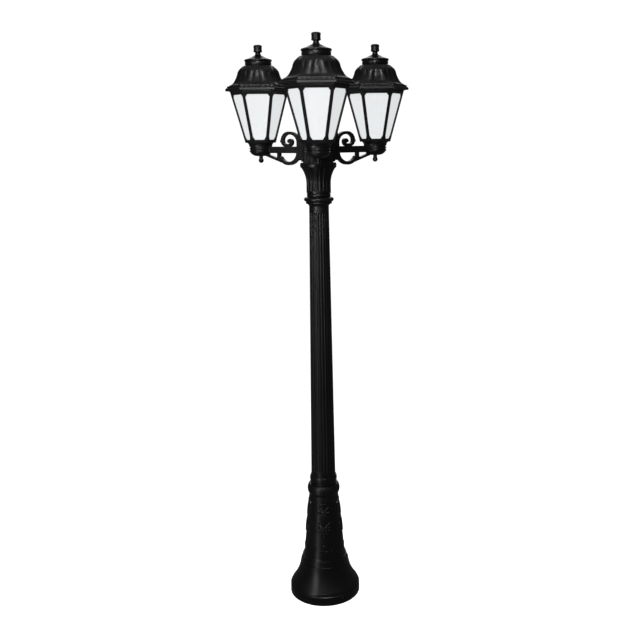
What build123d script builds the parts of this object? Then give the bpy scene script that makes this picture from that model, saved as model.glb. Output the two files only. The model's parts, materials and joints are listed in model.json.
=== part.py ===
from build123d import *
import math
import os

# A garden lamp post with three hexagonal lanterns on scrolled arms.
# Millimetres, +Z up, origin on the ground at the middle of the base.

# Arms: direction of each about the post, in degrees, and reach to the lantern's axis
ARM_DIRECTIONS = {"front": -90.0, "right": 30.0, "left": 150.0}
REACH = 219.0

# Fits
GAP = 0.3
RUNNING_FIT = 0.05

# Heights of the pieces stacked on the post
PLINTH_H = 371.0
COLLAR_H = 68.0
SHAFT_H = 929.0
NECK_H = 41.0
CAPITAL_H = 96.0

# Plinth: rim, rounded shoulder, hollow flare, skirt, step and cone
FOOT_R = 123.0
RIM_TOP_R = 122.5
RIM_H = 29.0
RIM_CHAMFER = 3.0
SHOULDER_R = 115.5
SHOULDER_H = 10.0
SHOULDER_BULGE = 1.0
SKIRT_R = 84.0
FLARE_H = 79.0
FLARE_SAG = 6.0
SKIRT_STEP = 2.5
BAND_R = 77.5
BAND_H = 19.0
BAND_STEP = 3.5
BAND_COVE_H = 7.0
CONE_R = 71.5
CONE_TOP_R = 50.3
PLINTH_WALL = 5.0
SOCKET_DEPTH = 60.0
LEDGE_T = 9.0

# Panels on the cone, of which the front one is the access door
PANEL_LIFT = 27.0
PANEL_TOP_MARGIN = 22.0
PANEL_HALF_ANGLE = 35.0
PANEL_CORNER_W = 8.0
PANEL_CORNER_H = 20.0
PANEL_BEAD_W = 4.0
PANEL_BEAD_H = 1.6
PANEL_TURNS = (90.0, 180.0, 270.0)
DOOR_RECESS = 2.6
DOOR_GAP = 0.5
DOOR_LEDGE = 8.0
DOOR_OPENING_DROP = 12.0
DOOR_OPENING_H = 84.0
DOOR_SCREW_LIFT = 20.0
DOOR_SCREW_HEAD_R = 4.5
DOOR_SCREW_HEAD_H = 2.5
DOOR_SCREW_R = 2.4
DOOR_SCREW_REACH = 7.0
DOOR_SCREW_PLAY = 1.0

# Floor flange inside the rim, with its anchor holes and the lugs for the rim screws
FLANGE_T = 8.0
FLANGE_BORE_R = 45.0
ANCHOR_CIRCLE_R = 80.0
ANCHOR_HOLE_R = 5.5
ANCHOR_BOSS_R = 13.0
ANCHOR_BOSS_H = 4.0
ANCHOR_TURNS = (0.0, 120.0, 240.0)
LUG_TURNS = (-60.0, 60.0, 180.0)
LUG_W = 24.0
LUG_T = 14.0
RIM_SCREW_Z = 22.0
RIM_SCREW_R = 2.5
RIM_SCREW_HEAD_R = 4.6
RIM_SCREW_HEAD_H = 2.2
RIM_SCREW_SINK = 0.8
RIM_SCREW_L = 14.0

# Terminal board behind the door
BOARD_W = 44.0
BOARD_H = 86.0
BOARD_T = 3.0
BOARD_Y = 15.0
BOARD_CLEARANCE = 3.0
BOARD_SCREW_INSET = 9.0
BOARD_BOSS_R = 6.0
BOARD_SCREW_R = 2.0
BOARD_SCREW_HEAD_R = 3.8
BOARD_SCREW_HEAD_H = 2.4
BOARD_SCREW_L = 14.0
BLOCK_W = 36.0
BLOCK_H = 34.0
BLOCK_T = 16.0
BLOCK_POLES = 3
BLOCK_WELL_R = 3.4
BLOCK_WELL_DEPTH = 8.0

# Collar round the foot of the pole: a large ring below a small one
COLLAR_LOW_R = 56.0
COLLAR_LOW_H = 37.0
COLLAR_WAIST_R = 44.5
COLLAR_HIGH_R = 47.0

# Pole: straight foot, tapered fluted shaft and spigot
POLE_FOOT_R = 42.0
POLE_TOP_R = 32.0
POLE_WALL = 5.0
POLE_FOOT_RING_H = 30.0
POLE_FOOT_RING_R = 27.0
SPIGOT_R = 29.0
SPIGOT_H = 84.0
SPIGOT_BORE_R = 17.0
SPIGOT_RING_H = 30.0
FLUTES = 24
FLUTE_R = 4.5
FLUTE_DEPTH = 1.5
FLUTE_START = 22.0
FLUTE_END = 24.0
POLE_SCREW_CIRCLE_R = 34.5
POLE_SCREW_R = 3.0
POLE_SCREW_HEAD_R = 5.0
POLE_SCREW_HEAD_H = 5.0
POLE_SCREW_L = 24.0
POLE_SCREW_TURNS = (30.0, 150.0, 270.0)

# Ring under the capital
NECK_FOOT_R = 32.5
NECK_COVE_H = 7.0
NECK_COVE_SAG = 1.6
NECK_LOW_BEAD_R = 40.5
NECK_LOW_BEAD_H = 7.0
NECK_RING_R = 42.0
NECK_RING_H = 14.0
NECK_RING_BULGE = 6.2
NECK_TOP_BEAD_R = 36.5
NECK_BEAD_BULGE = 2.0

# Capital: hollow flare with flutes, under a plain ring
CAPITAL_STEM_R = 39.5
CAPITAL_STEM_H = 31.0
CAPITAL_FLARE_H = 49.0
CAPITAL_FLARE_RADIUS = 87.5
CAPITAL_RING_R = 56.5
CAPITAL_RING_BULGE = 2.0
CAPITAL_WELL_R = 34.0
CAPITAL_FLANGE_T = 8.0
CAPITAL_FLUTES = 20
CAPITAL_FLUTE_R = 6.0
CAPITAL_FLUTE_DEPTH = 1.8
CAPITAL_FLUTE_MARGIN = 5.0
CAPITAL_SCREW_CIRCLE_R = 23.0
CAPITAL_SCREW_R = 2.5
CAPITAL_SCREW_HEAD_R = 4.3
CAPITAL_SCREW_HEAD_H = 4.0
CAPITAL_SCREW_L = 24.0
CAPITAL_SCREW_TURNS = (-30.0, 90.0, 210.0)

# Hub: reeded drum with a flat pad for each arm
HUB_R = 49.0
HUB_WALL = 6.0
HUB_FLOOR_T = 6.0
HUB_CABLE_R = 16.0
HUB_PAD_W = 38.0
HUB_PAD_FACE = 52.0
HUB_PAD_MARGIN = 4.0
REED_CUT_R = 2.4
REED_COUNT = 33
HUB_SCREW_CIRCLE_R = 38.0
HUB_SCREW_R = 2.5
HUB_SCREW_HEAD_R = 4.2
HUB_SCREW_HEAD_H = 4.0
HUB_SCREW_L = 20.0
HUB_SCREW_TURNS = (-30.0, 90.0, 210.0)
CAP_RIM_T = 3.0
CAP_DOME_H = 13.0
CAP_SPIGOT_H = 8.0
CAP_SPIGOT_WALL = 3.0

# Arm: root plate, bar, scroll, brace, strut and cup
CUP_RISE = 50.5
ROOT_T = 12.0
ROOT_W = 36.0
ROOT_H = 88.0
ROOT_LIFT = 7.0
BAR_T = 21.0
STRIP_W = 9.5
STRIP_T = 14.0
SCROLL_START = 71.5
SCROLL_RADII = (30.5, 24.0, 15.0, 11.0, 5.5)
SCROLL_RUNS = (5.5, 0.0, 8.5, 0.0)
SCROLL_EYE_R = 6.0
SCROLL_SINK = 1.0
BRACE_CENTRE = 108.5
BRACE_RADIUS = 36.0
BRACE_RISE = 3.0
BRACE_W = 11.0
BRACE_FROM = 180.0
BRACE_TO = 330.0
TAIL_RISE_ANGLE = 19.0
TAIL_W = 8.0
STRUT_S = 147.0
LEAF_L = 12.0
LEAF_W = 7.0
LEAF_TURN = -60.0
LEAF_RISE = 5.0
CUP_R = 35.0
CUP_BEAD_R = 2.8
CUP_BEADS = (6.0, 14.0)
CUP_H = 30.5
CUP_DISH_R = 9.0
CUP_DISH_H = 12.0
CUP_DISH_BULGE = 4.0
CUP_WALL = 5.0
CUP_BOSS_R = 10.0
ARM_SCREW_OFFSETS = (14.0, 74.0)
ARM_SCREW_R = 2.5
ARM_SCREW_HEAD_R = 4.3
ARM_SCREW_HEAD_H = 4.0
ARM_SCREW_SEAT = 45.0
ARM_SCREW_L = 14.0

# Drop finial under the cup, on the threaded tube that clamps the lantern
DROP_BALL_R = 8.5
DROP_NECK_R = 6.5
DROP_BALL_DROP = 14.0
TUBE_R = 5.0
TUBE_BORE_R = 3.5
TUBE_IN_BALL = 4.0
TUBE_IN_HOLDER = 9.0

# Lantern: hopper, frame, diffuser, lampholder and bulb
LANTERN_SIDES = 6
HOPPER_FOOT_R = 38.0
HOPPER_TOP_R = 44.0
HOPPER_H = 12.5
HOPPER_SAG = 2.0
HOPPER_WALL = 4.0
FRAME_FOOT_R = 50.4
FRAME_TOP_R = 94.5
FRAME_H = 160.5
FRAME_WALL = 4.5
FRAME_FLOOR_T = 3.0
FRAME_RIB_W = 13.5
WINDOW_SILL = 10.0
WINDOW_HEAD = 8.5
WINDOW_LOW_CORNER_W = 5.0
WINDOW_LOW_CORNER_H = 10.0
WINDOW_HIGH_CORNER_W = 7.0
WINDOW_HIGH_CORNER_H = 8.0
DIFFUSER_WALL = 2.5
DIFFUSER_TOP_DROP = 3.0
HOLDER_R = 18.5
HOLDER_FLANGE_R = 21.0
HOLDER_FLANGE_T = 4.0
HOLDER_H = 50.0
HOLDER_WALL = 4.5
HOLDER_FLOOR = 24.0
BULB_H = 108.0
BULB_R = 30.0
BULB_NECK_R = 15.0
BULB_NECK_SAG = 1.9
BULB_GLOBE_ANGLE = 20.0
BRIDGE_W = 12.0
BRIDGE_T = 2.0
BRIDGE_FIT = 0.3
STUD_R = 3.0
STUD_NUT_R = 5.6
STUD_NUT_H = 5.0
SEAL_T = 2.5
SEAL_W = 4.0

# Roof: lip, eave, bead, petalled dome and neck
LIP_R = 98.0
LIP_H = 2.0
LIP_W = 8.0
EAVE_R = 110.0
EAVE_H = 6.0
EAVE_SLOPE_R = 106.0
EAVE_SLOPE_H = 4.0
ROOF_BEAD_R = 104.0
ROOF_BEAD_H = 5.0
DOME_FOOT_R = 98.5
DOME_WAIST_R = 67.5
DOME_WAIST_H = 35.5
DOME_WAIST_SAG = 4.3
DOME_TOP_R = 45.0
DOME_SHOULDER_H = 28.0
DOME_SHOULDER_SAG = 4.6
DOME_STEPS = 4
PETAL_BULGE = 4.6
PETAL_EDGE_BULGE = 0.4
DART_TOP_ANGLE = 2.0
DART_FOOT_ANGLE = 9.0
DART_BULGE = 0.5
ROOF_NECK_R = 41.5
ROOF_NECK_H = 13.5
ROOF_NECK_BULGE = 1.6
ROOF_WALL = 4.0

# Vent cap and knob that holds the roof down
VENT_R = 43.5
VENT_BRIM_H = 6.0
VENT_BRIM_BULGE = 1.5
VENT_DOME_R = 16.0
VENT_DOME_H = 11.0
VENT_DOME_SAG = 0.8
VENT_NECK_R = 9.3
VENT_NECK_H = 6.0
VENT_NECK_SAG = 1.5
VENT_WALL = 4.0
KNOB_R = 14.3
KNOB_WAIST_R = 13.3
KNOB_H = 28.0
KNOB_NECK_R = 8.5
KNOB_NECK_H = 4.0
KNOB_SCALLOPS = 8
KNOB_SCALLOP_R = 3.2
KNOB_SCALLOP_DEPTH = 1.2
KNOB_CROWN = 3.0
KNOB_THREAD_L = 20.0

# Levels worked out from the stack
SHOULDER_Z = RIM_H + RIM_CHAMFER + SHOULDER_H
SKIRT_Z = SHOULDER_Z + FLARE_H
BAND_Z = SKIRT_Z + BAND_H
CONE_Z = BAND_Z + BAND_COVE_H
SOCKET_Z = PLINTH_H - SOCKET_DEPTH
LEDGE_Z = SOCKET_Z - LEDGE_T
PANEL_Z = CONE_Z + PANEL_LIFT
PANEL_TOP_Z = PLINTH_H - PANEL_TOP_MARGIN
COLLAR_Z = PLINTH_H
SHAFT_Z = COLLAR_Z + COLLAR_H
NECK_Z = SHAFT_Z + SHAFT_H
CAPITAL_Z = NECK_Z + NECK_H
SPIGOT_TOP_Z = NECK_Z + SPIGOT_H
HUB_Z = CAPITAL_Z + CAPITAL_H
HUB_TOP_Z = HUB_Z + ROOT_LIFT + ROOT_H + HUB_PAD_MARGIN
CUP_Z = HUB_Z + CUP_RISE
FRAME_Z = CUP_Z + HOPPER_H
FLOOR_Z = FRAME_Z + FRAME_FLOOR_T
FRAME_TOP_Z = FRAME_Z + FRAME_H
LIP_Z = FRAME_TOP_Z + SEAL_T
EAVE_Z = LIP_Z + LIP_H
BEAD_Z = EAVE_Z + EAVE_H + EAVE_SLOPE_H
DOME_Z = BEAD_Z + ROOF_BEAD_H
WAIST_Z = DOME_Z + DOME_WAIST_H
DOME_TOP_Z = WAIST_Z + DOME_SHOULDER_H
ROOF_TOP_Z = DOME_TOP_Z + ROOF_NECK_H
VENT_DOME_Z = ROOF_TOP_Z + VENT_BRIM_H
VENT_NECK_Z = VENT_DOME_Z + VENT_DOME_H
VENT_TOP_Z = VENT_NECK_Z + VENT_NECK_H
BULB_Z = FLOOR_Z + HOLDER_FLOOR + GAP
BOARD_Z = LEDGE_Z - POLE_SCREW_HEAD_H - BOARD_CLEARANCE - BOARD_H

# Radii that follow from a fit
SOCKET_R = POLE_FOOT_R + GAP
SPIGOT_HOLE_R = SPIGOT_R + GAP
TUBE_HOLE_R = TUBE_R + GAP
STUD_HOLE_R = STUD_R + GAP
HALF_SIDE_ANGLE = 180.0 / LANTERN_SIDES
FACE_SHARE = math.cos(math.radians(HALF_SIDE_ANGLE))
LANTERN_AXIS = Pos(REACH, 0, 0)


def turned(*edges):
    """Solid turned about Z from edges drawn as radius and height."""
    return revolve(Plane.XZ * make_face(Curve() + list(edges)), Axis.Z)


def turned_polygon(*points):
    """Solid turned about Z from straight edges."""
    return turned(Polyline(*points, close=True))


def rod(radius, low, high):
    """Upright cylinder between two levels."""
    return Pos(0, 0, low) * extrude(Circle(radius), high - low)


def screw(shank_r, length, head_r, head_h):
    """Screw with its shank down from the origin and its head above it."""
    return rod(shank_r, -length, 0) + rod(head_r, 0, head_h)


def around(piece, turns):
    """Copies of a piece turned about the post."""
    return [Rot(Z=turn) * piece for turn in turns]


def even_turns(count):
    """Directions spread evenly round a circle."""
    return [360.0 * index / count for index in range(count)]


def group(pieces):
    """Separate solids held in one node."""
    return Part() + pieces


def hexagon(corner_r):
    """Hexagon with two flats across the arm's direction."""
    return RegularPolygon(corner_r, LANTERN_SIDES, rotation=HALF_SIDE_ANGLE)


def hex_prism(corner_r, low, high):
    """Upright hexagonal prism between two levels."""
    return Pos(0, 0, low) * extrude(hexagon(corner_r), high - low)


def hex_taper(low, low_r, high, high_r):
    """Hexagonal solid that changes size between two levels."""
    return loft([Pos(0, 0, low) * hexagon(low_r), Pos(0, 0, high) * hexagon(high_r)], ruled=True)


def hex_inset(wall):
    """Change of corner radius that moves a hexagon's sides in by a wall."""
    return wall / FACE_SHARE


def cone_r(height):
    """Radius of the plinth's cone at a height."""
    return CONE_R + (CONE_TOP_R - CONE_R) * (height - CONE_Z) / (PLINTH_H - CONE_Z)


def cone_band(inner, outer):
    """Skin of the plinth's cone between two offsets from its surface."""
    return turned_polygon(
        (CONE_R + inner, CONE_Z),
        (CONE_R + outer, CONE_Z),
        (CONE_TOP_R + outer, PLINTH_H),
        (CONE_TOP_R + inner, PLINTH_H),
    )


def panel_half(height):
    """Half the width of a panel at a height."""
    return cone_r(height) * math.sin(math.radians(PANEL_HALF_ANGLE))


def panel_prism(inset):
    """Panel outline, drawn in by an inset, pushed through the front of the cone."""
    low = PANEL_Z + inset
    high = PANEL_TOP_Z - inset
    right = [
        (panel_half(low) - inset - PANEL_CORNER_W, low),
        (panel_half(low + PANEL_CORNER_H) - inset, low + PANEL_CORNER_H),
        (panel_half(high - PANEL_CORNER_W) - inset, high - PANEL_CORNER_W),
        (panel_half(high) - inset - PANEL_CORNER_W, high),
    ]
    left = [(-x, z) for x, z in reversed(right)]
    return extrude(Plane.XZ * make_face(Polyline(*right, *left, close=True)), FOOT_R)


def panel_bead(inset):
    """Raised border of a panel on the front of the cone."""
    border = panel_prism(inset) - panel_prism(inset + PANEL_BEAD_W)
    return border & cone_band(-DOOR_RECESS / 2, PANEL_BEAD_H)


def plinth_outline():
    """Edges of the plinth's section, outside first and then inside."""
    shoulder_low = (RIM_TOP_R - RIM_CHAMFER, RIM_H + RIM_CHAMFER)
    shoulder_high = (SHOULDER_R, SHOULDER_Z)
    skirt = (SKIRT_R, SKIRT_Z)
    inner_shoulder = (SHOULDER_R - PLINTH_WALL, SHOULDER_Z)
    inner_skirt = (SKIRT_R - PLINTH_WALL - SKIRT_STEP, SKIRT_Z)
    return [
        Polyline((FOOT_R - PLINTH_WALL, 0), (FOOT_R, 0), (RIM_TOP_R, RIM_H), shoulder_low),
        SagittaArc(shoulder_low, shoulder_high, -SHOULDER_BULGE),
        SagittaArc(shoulder_high, skirt, FLARE_SAG),
        Polyline(
            skirt,
            (SKIRT_R - SKIRT_STEP, SKIRT_Z),
            (BAND_R, BAND_Z),
            (BAND_R - BAND_STEP, BAND_Z),
            (CONE_R, CONE_Z),
            (CONE_TOP_R, PLINTH_H),
            (SOCKET_R, PLINTH_H),
            (SOCKET_R, SOCKET_Z),
            (POLE_FOOT_RING_R, SOCKET_Z),
            (POLE_FOOT_RING_R, LEDGE_Z),
            (cone_r(LEDGE_Z) - PLINTH_WALL, LEDGE_Z),
            (CONE_R - PLINTH_WALL, CONE_Z),
            inner_skirt,
        ),
        SagittaArc(inner_skirt, inner_shoulder, -FLARE_SAG),
        Polyline(
            inner_shoulder,
            (RIM_TOP_R - PLINTH_WALL, RIM_H),
            (FOOT_R - PLINTH_WALL, 0),
        ),
    ]


def rim_screw():
    """One rim screw, its head sunk in the rim, pointing at the post."""
    seat = rim_r(RIM_SCREW_Z) - RIM_SCREW_SINK - RIM_SCREW_HEAD_H
    return Pos(seat, 0, RIM_SCREW_Z) * Rot(Y=90) * screw(
        RIM_SCREW_R, RIM_SCREW_L, RIM_SCREW_HEAD_R, RIM_SCREW_HEAD_H
    )


def rim_r(height):
    """Radius of the plinth's rim at a height."""
    return FOOT_R + (RIM_TOP_R - FOOT_R) * height / RIM_H


def rim_screw_hole():
    """Counterbore and clearance hole for a rim screw."""
    seat = rim_r(RIM_SCREW_Z) - RIM_SCREW_SINK - RIM_SCREW_HEAD_H
    hole = screw(RIM_SCREW_R + GAP, RIM_SCREW_L + GAP, RIM_SCREW_HEAD_R + GAP, FOOT_R - seat)
    return Pos(seat, 0, RIM_SCREW_Z) * Rot(Y=90) * hole


def board_screw_heights():
    """Levels of the two screws that hold the terminal board."""
    return (BOARD_Z + BOARD_SCREW_INSET, BOARD_Z + BOARD_H - BOARD_SCREW_INSET)


def board_boss(height):
    """Boss from the plinth's back wall to the terminal board."""
    back = cone_r(height) - PLINTH_WALL / 2
    start = BOARD_Y + BOARD_T
    boss = Pos(0, start, height) * Rot(X=-90) * rod(BOARD_BOSS_R, 0, back - start)
    hole = Pos(0, start, height) * Rot(X=-90) * rod(BOARD_SCREW_R + GAP, 0, BOARD_SCREW_L)
    return boss - hole


def door_screw_place():
    """Seat of the door screw's head, with the screw pointing into the plinth."""
    height = PANEL_Z + DOOR_SCREW_LIFT
    return Pos(0, -cone_r(height) + DOOR_SCREW_HEAD_H / 2, height) * Rot(X=90)


def base_plinth():
    body = turned(*plinth_outline())
    body += [Rot(Z=turn) * panel_bead(0) for turn in PANEL_TURNS]
    body += [board_boss(height) for height in board_screw_heights()]
    recess = panel_prism(0) & cone_band(-DOOR_RECESS, FOOT_R)
    high = LEDGE_Z - DOOR_OPENING_DROP
    low = high - DOOR_OPENING_H
    half_low = panel_half(low) - DOOR_LEDGE
    half_high = panel_half(high) - DOOR_LEDGE
    window = Polyline((half_low, low), (half_high, high), (-half_high, high), (-half_low, low), close=True)
    opening = extrude(Plane.XZ * make_face(window), FOOT_R)
    screw_hole = door_screw_place() * rod(
        DOOR_SCREW_R + DOOR_SCREW_PLAY, -DOOR_SCREW_REACH - PLINTH_WALL, DOOR_SCREW_HEAD_H
    )
    body -= [recess, opening, screw_hole]
    body -= around(rim_screw_hole(), LUG_TURNS)
    pole_hole = Pos(POLE_SCREW_CIRCLE_R, 0, 0) * rod(POLE_SCREW_R + GAP, LEDGE_Z, SOCKET_Z)
    body -= around(pole_hole, POLE_SCREW_TURNS)
    return body


def access_door():
    plate = panel_prism(DOOR_GAP) & cone_band(-DOOR_RECESS + GAP, 0)
    door = plate + panel_bead(DOOR_GAP)
    seat = door_screw_place()
    door -= seat * rod(DOOR_SCREW_HEAD_R + GAP, 0, FOOT_R)
    door -= seat * rod(DOOR_SCREW_R + GAP, -PLINTH_WALL, 0)
    return door


def door_screw():
    return door_screw_place() * screw(
        DOOR_SCREW_R, DOOR_SCREW_REACH, DOOR_SCREW_HEAD_R, DOOR_SCREW_HEAD_H
    )


def floor_flange():
    lug_face = rim_r(RIM_SCREW_Z + LUG_T) - PLINTH_WALL - GAP
    plate_r = lug_face - LUG_T / 2
    body = rod(plate_r, 0, FLANGE_T)
    boss = Pos(ANCHOR_CIRCLE_R, 0, 0) * rod(ANCHOR_BOSS_R, 0, FLANGE_T + ANCHOR_BOSS_H)
    lug = Pos(lug_face - LUG_T / 2, 0, 0) * extrude(
        Rectangle(LUG_T, LUG_W), RIM_SCREW_Z + RIM_SCREW_HEAD_R
    )
    body += around(boss, ANCHOR_TURNS)
    body += [lug_copy & rod(lug_face, 0, PLINTH_H) for lug_copy in around(lug, LUG_TURNS)]
    body -= rod(FLANGE_BORE_R, 0, FLANGE_T)
    anchor_hole = Pos(ANCHOR_CIRCLE_R, 0, 0) * rod(ANCHOR_HOLE_R, 0, FLANGE_T + ANCHOR_BOSS_H)
    body -= around(anchor_hole, ANCHOR_TURNS)
    body -= around(rim_screw_hole(), LUG_TURNS)
    return body


def terminal_board():
    plate = Pos(0, BOARD_Y + BOARD_T / 2, BOARD_Z) * extrude(Rectangle(BOARD_W, BOARD_T), BOARD_H)
    holes = [
        Pos(0, BOARD_Y, height) * Rot(X=-90) * rod(BOARD_SCREW_R + GAP, 0, BOARD_T)
        for height in board_screw_heights()
    ]
    return plate - holes


def terminal_screws():
    return group([
        Pos(0, BOARD_Y, height) * Rot(X=90) * screw(
            BOARD_SCREW_R, BOARD_SCREW_L, BOARD_SCREW_HEAD_R, BOARD_SCREW_HEAD_H
        )
        for height in board_screw_heights()
    ])


def terminal_block():
    middle = BOARD_Z + BOARD_H / 2
    low = middle - BLOCK_H / 2
    body = Pos(0, BOARD_Y - BLOCK_T / 2, low) * extrude(Rectangle(BLOCK_W, BLOCK_T), BLOCK_H)
    pitch = BLOCK_W / BLOCK_POLES
    wells = [
        Pos((pole - (BLOCK_POLES - 1) / 2) * pitch, BOARD_Y - BLOCK_T, middle + side * BLOCK_H / 4)
        * Rot(X=-90)
        * rod(BLOCK_WELL_R, 0, BLOCK_WELL_DEPTH)
        for pole in range(BLOCK_POLES)
        for side in (-1, 1)
    ]
    return body - wells


def base_collar():
    low_top = COLLAR_Z + COLLAR_LOW_H
    high_low = low_top + COLLAR_LOW_R - COLLAR_HIGH_R
    top = COLLAR_Z + COLLAR_H
    edge = CONE_TOP_R
    return turned(
        Polyline((SOCKET_R, COLLAR_Z), (edge, COLLAR_Z)),
        ThreePointArc((edge, COLLAR_Z), (COLLAR_LOW_R, COLLAR_Z + COLLAR_LOW_H / 2), (edge, low_top)),
        Polyline((edge, low_top), (COLLAR_WAIST_R, low_top), (COLLAR_WAIST_R, high_low)),
        ThreePointArc(
            (COLLAR_WAIST_R, high_low), (COLLAR_HIGH_R, (high_low + top) / 2), (COLLAR_WAIST_R, top)
        ),
        Polyline((COLLAR_WAIST_R, top), (SOCKET_R, top), (SOCKET_R, COLLAR_Z)),
    )


def flute_cutter():
    """Round-ended cutter along the shaft's slope, for one flute of the pole."""
    low = SHAFT_Z + FLUTE_START
    high = NECK_Z - FLUTE_END
    slope = math.degrees(math.atan((POLE_FOOT_R - POLE_TOP_R) / SHAFT_H))
    length = (high - low) / math.cos(math.radians(slope))
    start_r = POLE_FOOT_R - (POLE_FOOT_R - POLE_TOP_R) * FLUTE_START / SHAFT_H
    capsule = turned(
        RadiusArc((0, -FLUTE_R), (FLUTE_R, 0), -FLUTE_R),
        Line((FLUTE_R, 0), (FLUTE_R, length)),
        RadiusArc((FLUTE_R, length), (0, length + FLUTE_R), -FLUTE_R),
        Line((0, length + FLUTE_R), (0, -FLUTE_R)),
    )
    return Pos(start_r + FLUTE_R - FLUTE_DEPTH, 0, low) * Rot(Y=-slope) * capsule


def pole():
    body = turned_polygon(
        (POLE_FOOT_RING_R, SOCKET_Z),
        (POLE_FOOT_R, SOCKET_Z),
        (POLE_FOOT_R, SHAFT_Z),
        (POLE_TOP_R, NECK_Z),
        (SPIGOT_R, NECK_Z),
        (SPIGOT_R, SPIGOT_TOP_Z),
        (SPIGOT_BORE_R, SPIGOT_TOP_Z),
        (SPIGOT_BORE_R, SPIGOT_TOP_Z - SPIGOT_RING_H),
        (SPIGOT_R - POLE_WALL, SPIGOT_TOP_Z - SPIGOT_RING_H),
        (SPIGOT_R - POLE_WALL, NECK_Z),
        (POLE_FOOT_R - POLE_WALL, SHAFT_Z),
        (POLE_FOOT_R - POLE_WALL, SOCKET_Z + POLE_FOOT_RING_H),
        (POLE_FOOT_RING_R, SOCKET_Z + POLE_FOOT_RING_H),
    )
    body -= around(flute_cutter(), even_turns(FLUTES))
    depth = POLE_SCREW_L - LEDGE_T + GAP
    foot_hole = rod(POLE_SCREW_R + RUNNING_FIT, SOCKET_Z, SOCKET_Z + depth)
    body -= around(Pos(POLE_SCREW_CIRCLE_R, 0, 0) * foot_hole, POLE_SCREW_TURNS)
    depth = CAPITAL_SCREW_L - CAPITAL_FLANGE_T + GAP
    top_hole = rod(CAPITAL_SCREW_R + RUNNING_FIT, SPIGOT_TOP_Z - depth, SPIGOT_TOP_Z)
    body -= around(Pos(CAPITAL_SCREW_CIRCLE_R, 0, 0) * top_hole, CAPITAL_SCREW_TURNS)
    return body


def pole_screws():
    one = Pos(POLE_SCREW_CIRCLE_R, 0, LEDGE_Z) * Rot(X=180) * screw(
        POLE_SCREW_R, POLE_SCREW_L, POLE_SCREW_HEAD_R, POLE_SCREW_HEAD_H
    )
    return group(around(one, POLE_SCREW_TURNS))


def neck_ring():
    bead_z = NECK_Z + NECK_COVE_H
    ring_z = bead_z + NECK_LOW_BEAD_H
    top_z = ring_z + NECK_RING_H
    return turned(
        Polyline((SPIGOT_HOLE_R, NECK_Z), (NECK_FOOT_R, NECK_Z)),
        SagittaArc((NECK_FOOT_R, NECK_Z), (NECK_LOW_BEAD_R, bead_z), NECK_COVE_SAG),
        SagittaArc((NECK_LOW_BEAD_R, bead_z), (NECK_LOW_BEAD_R, ring_z), -NECK_BEAD_BULGE),
        Polyline((NECK_LOW_BEAD_R, ring_z), (NECK_RING_R, ring_z)),
        SagittaArc((NECK_RING_R, ring_z), (NECK_RING_R, top_z), -NECK_RING_BULGE),
        Polyline((NECK_RING_R, top_z), (NECK_TOP_BEAD_R, top_z)),
        SagittaArc((NECK_TOP_BEAD_R, top_z), (NECK_TOP_BEAD_R, CAPITAL_Z), -NECK_BEAD_BULGE),
        Polyline((NECK_TOP_BEAD_R, CAPITAL_Z), (SPIGOT_HOLE_R, CAPITAL_Z), (SPIGOT_HOLE_R, NECK_Z)),
    )


def capital_flare_r(height):
    """Radius of the capital's hollow flare at a height above the flare's foot."""
    return (
        CAPITAL_STEM_R
        + CAPITAL_FLARE_RADIUS
        - math.sqrt(CAPITAL_FLARE_RADIUS**2 - height**2)
    )


def capital_flute():
    """Cutter that runs up the capital's stem from a round end and bends out along its flare."""
    flare_z = CAPITAL_Z + CAPITAL_STEM_H
    centre = CAPITAL_STEM_R + CAPITAL_FLARE_RADIUS
    path_r = CAPITAL_FLARE_RADIUS + CAPITAL_FLUTE_DEPTH - CAPITAL_FLUTE_R
    sweep_angle = math.degrees(math.asin(CAPITAL_FLARE_H / CAPITAL_FLARE_RADIUS))
    start_r = centre - path_r
    axis = Axis((centre, 0, flare_z), (0, 1, 0))
    bend = revolve(Pos(start_r, 0, flare_z) * Circle(CAPITAL_FLUTE_R), axis, sweep_angle)
    end_z = CAPITAL_Z + CAPITAL_FLUTE_MARGIN + CAPITAL_FLUTE_R
    stem = Pos(start_r, 0, 0) * rod(CAPITAL_FLUTE_R, end_z, flare_z)
    return bend + stem + Pos(start_r, 0, end_z) * Sphere(CAPITAL_FLUTE_R)


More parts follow.
